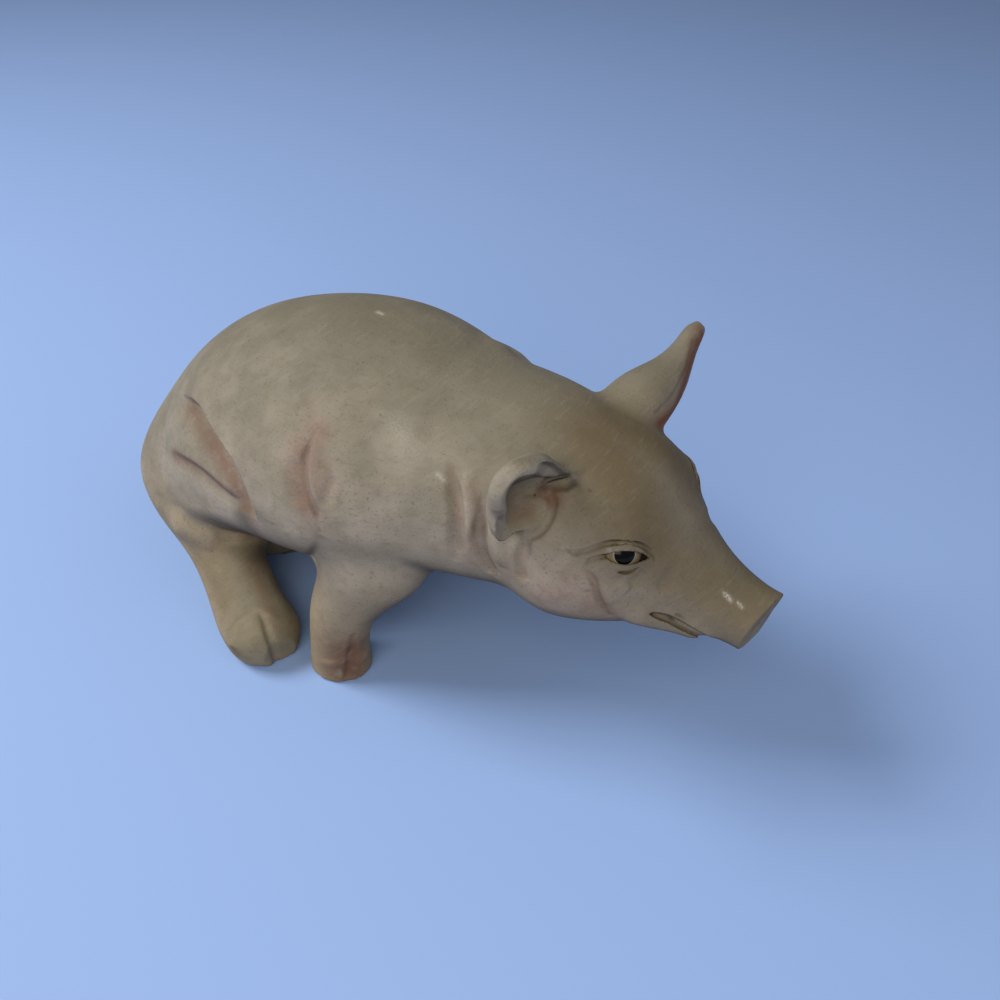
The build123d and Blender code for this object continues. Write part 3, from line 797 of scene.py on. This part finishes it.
def cut_out(points, out, faces, keep):
    """The part of a surface where keep is negative, closed by fans, and how many of its faces are skin."""
    cell = 0.02 * MM
    keep = np.where(np.abs(keep) < cell, np.where(keep < 0, -cell, cell), keep)
    inside = keep < 0
    count = inside[faces].sum(1)
    rows = np.hstack((points, out))
    new_rows = []
    crossed = {}
    made = []
    follow = {}

    def crossing(a, b):
        key = min(a, b), max(a, b)
        if key not in crossed:
            crossed[key] = len(rows) + len(new_rows)
            new_rows.append(rows[a] + (rows[b] - rows[a]) * (keep[a] / (keep[a] - keep[b])))
        return crossed[key]

    for face in faces[(count == 1) | (count == 2)]:
        marks = inside[face]
        lone = marks.sum() == 1
        odd = int(np.flatnonzero(marks == lone)[0])
        a, b, c = (int(face[(odd + i) % 3]) for i in ((0, 1, 2) if lone else (1, 2, 0)))
        first = crossing(a, b) if lone else crossing(b, c)
        second = crossing(a, c)
        if not lone:
            made.append((a, b, first))
        made.append((a, first, second))
        follow.setdefault(first, []).append(second)
    caps = []
    while follow:
        loop = [next(iter(follow))]
        while loop[-1] in follow:
            ways = follow[loop[-1]]
            ahead = ways.pop()
            if not ways:
                del follow[loop[-1]]
            if ahead == loop[0]:
                break
            loop.append(ahead)
        rim = np.array([new_rows[i - len(rows)][:3] for i in loop])
        middle = len(rows) + len(new_rows)
        new_rows.append(np.append(rim.mean(0), (0.0, 0.0, 1.0)))
        caps += [(loop[(i + 1) % len(loop)], here, middle) for i, here in enumerate(loop)]
    rows = np.vstack((rows, np.array(new_rows).reshape(-1, 6)))
    skin_faces = np.concatenate((faces[count == 3], np.array(made, np.int64).reshape(-1, 3)))
    all_faces = np.concatenate((skin_faces, np.array(caps, np.int64).reshape(-1, 3)))
    used, renumbered = np.unique(all_faces, return_inverse=True)
    return rows[used, :3], rows[used, 3:], renumbered.reshape(-1, 3), len(skin_faces)


def placed(name, data):
    """A new object in the scene."""
    thing = bpy.data.objects.new(name, data)
    bpy.context.scene.collection.objects.link(thing)
    return thing


def mesh_object(name, points, out, faces, skin_count):
    """A closed mesh, shaded by the surface's own directions so that joins don't show."""
    mesh = bpy.data.meshes.new(name)
    mesh.vertices.add(len(points))
    mesh.vertices.foreach_set("co", points.astype(np.float32).ravel())
    mesh.loops.add(faces.size)
    mesh.loops.foreach_set("vertex_index", faces.astype(np.int32).ravel())
    mesh.polygons.add(len(faces))
    mesh.polygons.foreach_set("loop_start", np.arange(0, faces.size, 3, dtype=np.int32))
    mesh.update(calc_edges=True)
    mesh.shade_smooth()
    corners = out[faces]
    corners[skin_count:] = unit(across_faces(points, faces))[skin_count:, None, :]
    mesh.normals_split_custom_set(corners.reshape(-1, 3).tolist())
    return placed(name, mesh)


# Materials

materials = []


def linear(code):
    """A colour written as sRGB hex, made linear."""
    parts = [int(code[i:i + 2], 16) / 255 for i in (1, 3, 5)]
    return tuple(p / 12.92 if p <= 0.04045 else ((p + 0.055) / 1.055) ** 2.4 for p in parts) + (1.0,)


def new_material(name):
    """Starts a material, which takes the nodes added from here on."""
    materials.append(bpy.data.materials.new(name))
    materials[-1].use_nodes = True
    materials[-1].node_tree.nodes.clear()


def add(kind, links, give=0, **settings):
    """Adds a node and gives back one output, or all for None."""
    tree = materials[-1].node_tree
    node = tree.nodes.new("ShaderNode" + kind)
    for key, value in settings.items():
        setattr(node, key, value)
    for socket, source in links.items():
        if isinstance(source, bpy.types.NodeSocket):
            tree.links.new(source, node.inputs[socket])
        else:
            node.inputs[socket].default_value = source
    return node.outputs if give is None else node.outputs[give]


def finished(colour, roughness, **more):
    """Gives the newest material its shader."""
    shader = add("BsdfPrincipled", {"Base Color": colour, "Roughness": roughness, **more})
    add("OutputMaterial", {"Surface": shader}, None)
    return materials[-1]


def blend(under, share, code):
    """A colour laid over another one."""
    return add("Mix", {0: share, 6: under, 7: linear(code)}, 2, data_type="RGBA")


def times(a, b):
    return add("Math", {0: a, 1: b}, operation="MULTIPLY")


def plus(a, b):
    return add("Math", {0: a, 1: b}, operation="ADD")


def span(value, low, high, most=None):
    """0 on low's side and 1, or most, on high's."""
    share = add("MapRange", {"Value": value, "From Min": low, "From Max": high})
    return share if most is None else times(share, most)


def place_in_mm(turn=0.0):
    """The shaded spot's place in millimetres."""
    place = add("TexCoord", {}, "Object")
    return add("Mapping", {
        "Vector": place, "Scale": (1000.0, 1000.0, 1000.0), "Rotation": (0.0, turn, 0.0)})


def noise(place, size, detail=2.0, stretch=(1.0, 1.0, 1.0)):
    """Soft noise with lumps size millimetres wide, drawn out by stretch."""
    scale = tuple(1.0 / (size * s) for s in stretch)
    mapped = add("Mapping", {"Vector": place, "Scale": scale})
    return add("TexNoise", {"Vector": mapped, "Scale": 1.0, "Detail": detail})


def bumped(height, strength, distance):
    return add("Bump", {"Height": height, "Strength": strength, "Distance": distance})


def painted_shares(name):
    """Three paints stored on the surface."""
    vector = add("Attribute", {}, "Vector", attribute_name=name)
    return add("SeparateXYZ", {0: vector}, None)


def painted_resin():
    """Matte resin, painted cream with grey and olive over it, with painted shade over a brown wash in the creases
    and painted shade underneath.
    """
    new_material("hand_painted_resin")
    place = place_in_mm()
    slant = place_in_mm(math.radians(38))
    # Painted shade of fine creases and of broad hollows, and the dark strokes
    crease, shade, dark = painted_shares("hollow")
    # Pink, warm brown and olive paints; the warm brown is also painted shade in the folds and under the barrel's
    # overhang
    pink, warm, olive = painted_shares("tint")
    # Pale paint, hoof paint and the painted shade of the underside
    pale, hoof, underside_shade = painted_shares("finish")
    up = add("SeparateXYZ", {0: add("TexCoord", {}, "Normal")}, 2)
    ground = add("SeparateXYZ", {0: place}, 2)
    clouds = noise(place, 13.0, 4.0)
    patches = noise(place, 4.5, 3.0)
    grain = noise(place, 0.7)
    brush = noise(slant, 0.9, 3.0, (9.0, 9.0, 1.0))
    hairs = noise(place, 0.8, 2.0, (10.0, 2.0, 1.0))
    colour = linear("#9C907E")
    for share, code in (
        (span(clouds, 0.38, 0.62), "#8A806E"),
        # Warmer towards the bottom and on faces that look down, painted to cancel the blue light bounced up from the
        # floor
        (span(ground, 62.0, 30.0, 0.8), "#A08C6B"),
        (span(up, 0.15, -0.6, 0.7), "#8F7450"),
        # Greyer on faces that look up, broken by clouds: grey paint on the back together with painted shade of the
        # top
        (span(plus(up, times(clouds, 0.35)), 0.45, 1.15, 0.85), "#6B6554"),
        (times(olive, 0.92), "#5F5035"),
        (span(patches, 0.25, 0.6, pink), "#9A7266"),
        (times(hoof, 0.9), "#7B7259"),
        (span(patches, 0.1, 0.45, warm), "#663A22"),
        (span(patches, 0.52, 0.75, 0.35), "#6E6553"),
        (span(brush, 0.56, 0.72, 0.10), "#A89F8E"),
        (span(hairs, 0.58, 0.74, 0.20), "#564E3E"),
        (span(grain, 0.60, 0.72, 0.45), "#4E4637"),
        # Pale chips and scuffs, and a painted highlight on the first neck fold
        (span(grain, 0.30, 0.60, pale), "#C4BEB0"),
        # Painted shade in fine creases over a brown wash, then painted shade in broad hollows
        (span(crease, 0.15, 0.9, 0.55), "#43321F"),
        (span(shade, 0.25, 0.9, 0.25), "#574429"),
        # Painted shade under the belly and on the insides of the legs
        (times(underside_shade, 0.85), "#2E241B"),
        # Dark strokes: painted shade in creases, slits and under the barrel's overhang, and a few dark specks
        (dark, "#231A13"),
    ):
        colour = blend(colour, share, code)
    height = plus(times(grain, 0.10), times(patches, 0.22))
    height = plus(plus(height, times(brush, 0.09)), times(hairs, 0.07))
    return finished(colour, span(patches, -0.9, 1.0), IOR=1.45, Normal=bumped(height, 0.7, MM))


def glossy_eye(name, pupil):
    """An olive-brown eyeball with a black pupil in a pale ring."""
    new_material(name)
    place = add("TexCoord", {}, "Object")
    away = add("VectorMath", {0: place, 1: tuple(pupil)}, "Value", operation="DISTANCE")
    colour = blend(linear("#8A7D63"), noise(place_in_mm(), 0.6, 3.0), "#6F624A")
    colour = blend(colour, span(away, 3.4 * MM, 3.2 * MM), "#9A8E76")
    colour = blend(colour, span(away, 3.1 * MM, 2.9 * MM), "#0B0A09")
    return finished(colour, 0.15, IOR=1.4, **{"Specular IOR Level": 0.3})


def felt():
    """Pressed wool with loose fibres."""
    new_material("felt")
    place = place_in_mm()
    fibres = noise(place, 0.35, 4.0, (3.0, 1.0, 1.0))
    bump = bumped(plus(fibres, noise(place, 1.6, 3.0)), 0.8, 0.3 * MM)
    colour = blend(linear("#4E463C"), fibres, "#6B6154")
    return finished(colour, 0.95, Normal=bump, **{"Sheen Weight": 0.4})


def rubber():
    """Dull dark rubber with a trace of moulding dust."""
    new_material("plug_rubber")
    dust = noise(place_in_mm(), 2.2, 4.0)
    colour = blend(linear("#2B2723"), span(dust, 0.45, 0.75), "#4A443C")
    return finished(colour, span(dust, -1.2, 1.3), Normal=bumped(dust, 0.4, 0.15 * MM))


def steel():
    """Drawn steel rod with fine rings."""
    new_material("steel")
    scratches = noise(place_in_mm(), 0.3, 3.0, (1.0, 1.0, 6.0))
    colour = blend(linear("#A9ABAD"), scratches, "#8B8D90")
    return finished(colour, span(scratches, -1.0, 2.2), Metallic=1.0)


# Paints on both sides of the pig, painted shade and a painted highlight among them: width in millimetres, strength,
# then x and y of each pixel along a line
PAINT = {
"pink": (
    (4.5, 0.42, 318, 425, 312, 442, 312, 465, 318, 490),
    (5, 0.35, 300, 450, 297, 480, 310, 515),
    (4, 0.4, 252, 515, 268, 540, 290, 558, 318, 572),
    (3.5, 0.4, 212, 452, 232, 478, 245, 497),
    (11, 0.35, 545, 590, 575, 600),
    (5, 0.3, 470, 500, 470, 555),
),
"warm": (
    (1.6, 0.4, 594, 580, 597, 592, 602, 603, 610, 613),
    # Painted shadow of the barrel's overhang on the thigh, and of the thigh on the shank
    (4, 0.6, 188, 408, 202, 431, 216, 456, 229, 478, 243, 505),
    (2.6, 0.6, 174, 454, 200, 470, 222, 489, 243, 506),
    # Painted shade in the fold behind the shoulder and beside it
    (1.4, 0.4, 305, 452, 303, 470, 306, 492, 314, 512),
    (3, 0.42, 300, 458, 297, 480, 303, 505),
    # Painted shade in the neck's three folds
    (1.4, 0.35, 450, 468, 454, 490, 457, 530),
    (1.2, 0.4, 482, 510, 480, 546, 494, 574),
    (1.1, 0.4, 527, 542, 520, 562, 522, 576),
    (7, 0.9, 352, 650, 350, 672),
    (9, 0.75, 345, 652, 345, 672),
    (3, 0.3, 250, 560, 262, 590, 272, 612),
),
"dark": (
    # Painted shadow of the barrel's overhang on the thigh, and of the thigh on the shank
    (1.7, 0.42, 190, 405, 206, 430, 222, 455, 235, 476, 247, 503),
    (1, 0.25, 176, 453, 200, 468, 222, 486, 242, 501),
    # Painted shadow in the gap between the shank and the belly
    (5, 0.45, 245, 520, 256, 535, 262, 555),
    # Painted shade in the mouth's slit and in the creases around the eye
    (0.5, 0.85, 648, 613.5, 658, 614, 668, 616.5, 687, 626.5, 708, 637, 717, 640.5),
    (0.3, 0.6, 581, 552, 594, 548, 606, 544, 617, 542.5, 631, 543, 642, 546, 650, 551, 655, 559),
    (0.3, 0.45, 615, 569.5, 626, 571.5, 638, 567.5),
    (0.35, 0.8, 604, 555.5, 615.6, 551.8, 625, 551, 635, 551.6, 643, 553.8, 648.5, 558),
    (0.3, 0.4, 566, 549, 572, 553, 579, 556),
    (0.3, 0.4, 585, 565, 590, 560),
    # Painted shade along the thigh's crease, the fold behind the shoulder and the hoof's cleft
    (0.3, 0.5, 188, 399, 211, 427, 227, 452, 240, 473, 250, 497),
    (0.7, 0.65, 308, 447, 303, 462, 304, 480, 309, 498, 316, 515),
    (0.35, 0.5, 259, 612, 265, 628, 271, 645, 277, 664),
),
"olive": (
    (15, 0.95, 596, 440, 625, 490, 648, 540),
    (15, 0.75, 668, 565, 700, 590, 750, 615),
    (9, 0.5, 640, 600, 690, 620),
    (6, 0.45, 200, 560, 225, 600),
),
"hoof": (
    (9, 0.9, 245, 640, 262, 648, 280, 645),
),
"pale": (
    (5, 0.18, 395, 425, 412, 450),
    # Painted highlight along the ridge of the first neck fold
    (1.6, 0.25, 467, 475, 468, 505),
    (1.2, 0.4, 610, 549, 625, 548, 638, 549),
),
}

# Paints on the right side or one ear only
PAINT_ONCE = {
"hoof": (
    (5, 1, 512, 490, 514, 512, 519, 528),
    (5, 1, 526, 484, 532, 500, 533, 518),
),
"warm": (
    (4.5, 0.45, 514, 488, 522, 512),
    (3, 0.8, 545, 492, 553, 500),
    (2.6, 1, 701, 335, 697, 362, 688, 388, 674, 410, 660, 424),
),
"dark": (
    # Painted shade in the near ear's slit and in the crease at its root
    (1.2, 0.75, 540, 489, 552, 484, 566, 483, 574, 483),
    (0.6, 0.5, 530, 537, 544, 526, 551, 512, 551, 500),
    (0.6, 0.35, 692, 340, 686, 366, 672, 394, 655, 412),
    (0.35, 0.8, 590, 491),
    (0.35, 0.7, 380, 415),
    (0.3, 0.7, 355, 493),
    (0.3, 0.7, 413, 503),
    # Painted shade in the small groove above the mouth
    (0.45, 0.6, 676, 614, 684, 617),
    (0.35, 0.5, 611.5, 525, 616, 529, 612, 534, 607, 530),
),
"pale": (
    (2.4, 0.2, 501, 520, 497, 495, 503, 475, 520, 463, 540, 463, 558, 472, 570, 479),
    (0.7, 0.8, 725, 594, 731, 600),
    (0.6, 0.6, 738, 603, 742, 607),
    (0.8, 0.4, 437, 474, 444, 480),
    (0.8, 0.9, 378, 312, 382, 314),
),
}


def lay_paint(points):
    """How much of each paint lies on the points of a surface."""
    amounts = {name: np.zeros(len(points)) for name in PAINT}
    for paints, mirrored in ((PAINT, True), (PAINT_ONCE, False)):
        for paint, rows in paints.items():
            for width, strength, *pixels in rows:
                stroke = Stroke(pixels, mirrored, field=whole_field, smooth=False)
                for line, out, hand in stroke.sides():
                    near = beside(points, line, PAINT_SPREAD * width * MM)
                    distance, _, _ = measure(points[near], line, out, hand)
                    amount = strength * np.exp(-(distance / (width * MM)) ** 2)
                    amounts[paint][near] = np.maximum(amounts[paint][near], amount)
    return amounts


def store_paint(mesh, points, out, skin):
    """Keeps paints on a mesh for its material, with the painted shade of its creases, hollows and underside."""
    paint = lay_paint(points)
    # Painted shade: how far the skin closes in over each point, in fine creases and in broad hollows
    crease, shade = (np.clip(1 - skin.block.read(skin.whole, points + out * reach) / reach, 0, 1)
                     for reach in (CREASE_REACH, SHADE_REACH))
    # Painted shade on faces that look down, from 15 mm above the ground up: the belly and the insides of the legs
    underside_shade = eased((-0.25 - out[:, 2]) / 0.5) * eased((points[:, 2] - 15 * MM) / (12 * MM))
    for name, parts in (
        # hollow: painted shade of creases and of hollows, and the dark strokes
        ("hollow", (crease, shade, paint["dark"])),
        ("tint", (paint["pink"], paint["warm"], paint["olive"])),
        ("finish", (paint["pale"], paint["hoof"], underside_shade)),
    ):
        layer = mesh.attributes.new(name, "FLOAT_VECTOR", "POINT")
        layer.data.foreach_set("vector", np.stack(parts, axis=1).astype(np.float32).ravel())


def add_piece(piece, material, node):
    """Dresses a piece and puts it in the place of a CAD solid."""
    piece.data.materials.append(material)
    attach(piece, BODY)
    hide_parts(node)


RESIN = painted_resin()
SOLIDS = {"torso": "torso_shell", "head": "head_casting"}
surfaces = {name: surface(skin) for name, skin in skins.items()}
for mass in ("torso", "head", *LEGS, *EARS, "tail"):
    where = "head" if mass in ("head", *EARS) else "body"
    skin = skins[where]
    points, out, faces = surfaces[where]
    distances = {name: skin.block.read(field, points) for name, field in skin.fields.items()}
    others = np.min([d for name, d in distances.items() if name != mass], axis=0)
    made = cut_out(points, out, faces, distances[mass] - others)
    piece = mesh_object(mass + "_skin", *made)
    store_paint(piece.data, *made[:2], skin)
    add_piece(piece, RESIN, SOLIDS.get(mass, mass))


# Eyeballs, felt pads and the plug

def turned_form(name, centre, axis, profile, count=72):
    """A form turned about an axis; profile gives distances along it and from it."""
    axis = unit(axis)
    across = unit(np.cross(axis, (1.0, 0.0, 0.0) if abs(axis[0]) < 0.8 else (0.0, 1.0, 0.0)))
    around = np.linspace(0, 2 * math.pi, count, endpoint=False)[:, None]
    spoke = across * np.cos(around) + np.cross(axis, across) * np.sin(around)
    rings = [centre + axis * along + spoke * radius for along, radius in profile[1:-1]]
    return closed_form(name, rings, centre + axis * profile[0][0], centre + axis * profile[-1][0])


def closed_form(name, rings, start, end):
    """A smooth mesh through rings, with a point at either end."""
    first, last, quads = faces_through(len(rings), len(rings[0]))
    faces = first[:, ::-1].tolist() + last.tolist() + quads.tolist()
    mesh = bpy.data.meshes.new(name)
    mesh.from_pydata(np.vstack((*rings, start, end)).tolist(), [], faces)
    mesh.update()
    mesh.shade_smooth()
    return placed(name, mesh)


def add_eye(side, node):
    """An eyeball with a flat back, its pupil where the camera sees it on the right eye."""
    centre = head_point(EYE_SHARES, side)
    profile = [(EYE_RADIUS * math.cos(a), EYE_RADIUS * math.sin(a))
               for a in np.linspace(math.acos(-EYE_BACK_SHARE), 0, 48)]
    piece = turned_form(node + "ball", centre, centre - HEAD_MIDDLE, [(-EYE_RADIUS * EYE_BACK_SHARE, 0.0)] + profile)
    sight = sights(np.array((PUPIL,)))[0]
    offset = CAMERA_PLACE - head_point(EYE_SHARES, -1)
    along = -(sight @ offset) - math.sqrt((sight @ offset) ** 2 - offset @ offset + EYE_RADIUS ** 2)
    pupil = (CAMERA_PLACE + sight * along) * np.array((1.0, -side, 1.0))
    add_piece(piece, glossy_eye(node + "ball_gloss", pupil), node)


def add_pads():
    """Felt discs with soft edges."""
    wool = felt()
    for node, centre, radius, thickness in PADS:
        soft = thickness / 4
        profile = ((0.0, 0.0), (0.0, radius - 2 * soft), (soft / 4, radius - soft), (soft, radius),
                   (thickness - soft, radius), (thickness, radius - soft), (thickness, 0.0))
        add_piece(turned_form(node + "_felt", centre, np.array((0.0, 0.0, 1.0)), profile), wool, node)


def add_plug():
    """A rubber disc that follows the belly, just under its skin."""
    around = np.linspace(0, 2 * math.pi, 64, endpoint=False)
    rings = []
    for share, sink in ((0.35, 0.0), (0.70, 0.0), (0.94, 0.0), (1.0, 0.4 * MM), (1.0, PLUG_THICKNESS)):
        radius = PLUG_RADIUS * share
        rings.append(np.array([
            plug_place(radius * math.cos(a), radius * math.sin(a)) + TORSO_AXES[2] * (PLUG_SINK + sink)
            for a in around]))
    middle = plug_place(0.0, 0.0) + TORSO_AXES[2] * PLUG_SINK
    piece = closed_form("belly_plug_rubber", rings, middle, middle + TORSO_AXES[2] * PLUG_THICKNESS)
    add_piece(piece, rubber(), "belly_plug")


add_eye(-1, "right_eye")
add_eye(1, "left_eye")
add_pads()
add_plug()
STEEL = steel()
for node_name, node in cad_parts.items():
    if node_name.endswith(("_pin", "_dowel")):
        node.data.materials.clear()
        node.data.materials.append(STEEL)


# Floor, light and camera

def soft_box(name, place, size, power, colour):
    data = bpy.data.lights.new(name, "AREA")
    data.shape, data.size, data.energy = "SQUARE", size, power
    data.color = linear(colour)[:3]
    lamp = placed(name, data)
    lamp.location = place
    lamp.rotation_euler = (Vector((0, 0, 0.05)) - Vector(place)).to_track_quat("-Z", "Y").to_euler()


bpy.ops.mesh.primitive_plane_add(size=6)
ground = bpy.context.object
ground.name = "floor"
new_material("pale_floor")
ground.data.materials.append(finished(linear("#93AFDF"), 0.9))
soft_box("window", (-0.70, -0.30, 0.90), 0.5, 10.0, "#FFFFFF")
soft_box("front", (0.30, -0.75, 0.72), 0.8, 6.0, "#FFF8EC")
soft_box("fill", (0.9, 0.1, 0.9), 1.0, 2.5, "#F2F6FF")

world = bpy.data.worlds.new("room")
world.use_nodes = True
background = world.node_tree.nodes["Background"].inputs
background["Color"].default_value = linear("#DDE4F2")
background["Strength"].default_value = 0.20
scene = bpy.context.scene
scene.world = world
scene.view_settings.view_transform = "Standard"

lens = bpy.data.cameras.new("camera")
lens.lens = lens.sensor_width = LENS
camera = placed("camera", lens)
turn = Matrix((CAMERA_RIGHT, CAMERA_UP, -CAMERA_FORWARD)).transposed()
camera.matrix_world = Matrix.Translation(Vector(CAMERA_PLACE)) @ turn.to_4x4()
scene.camera = camera
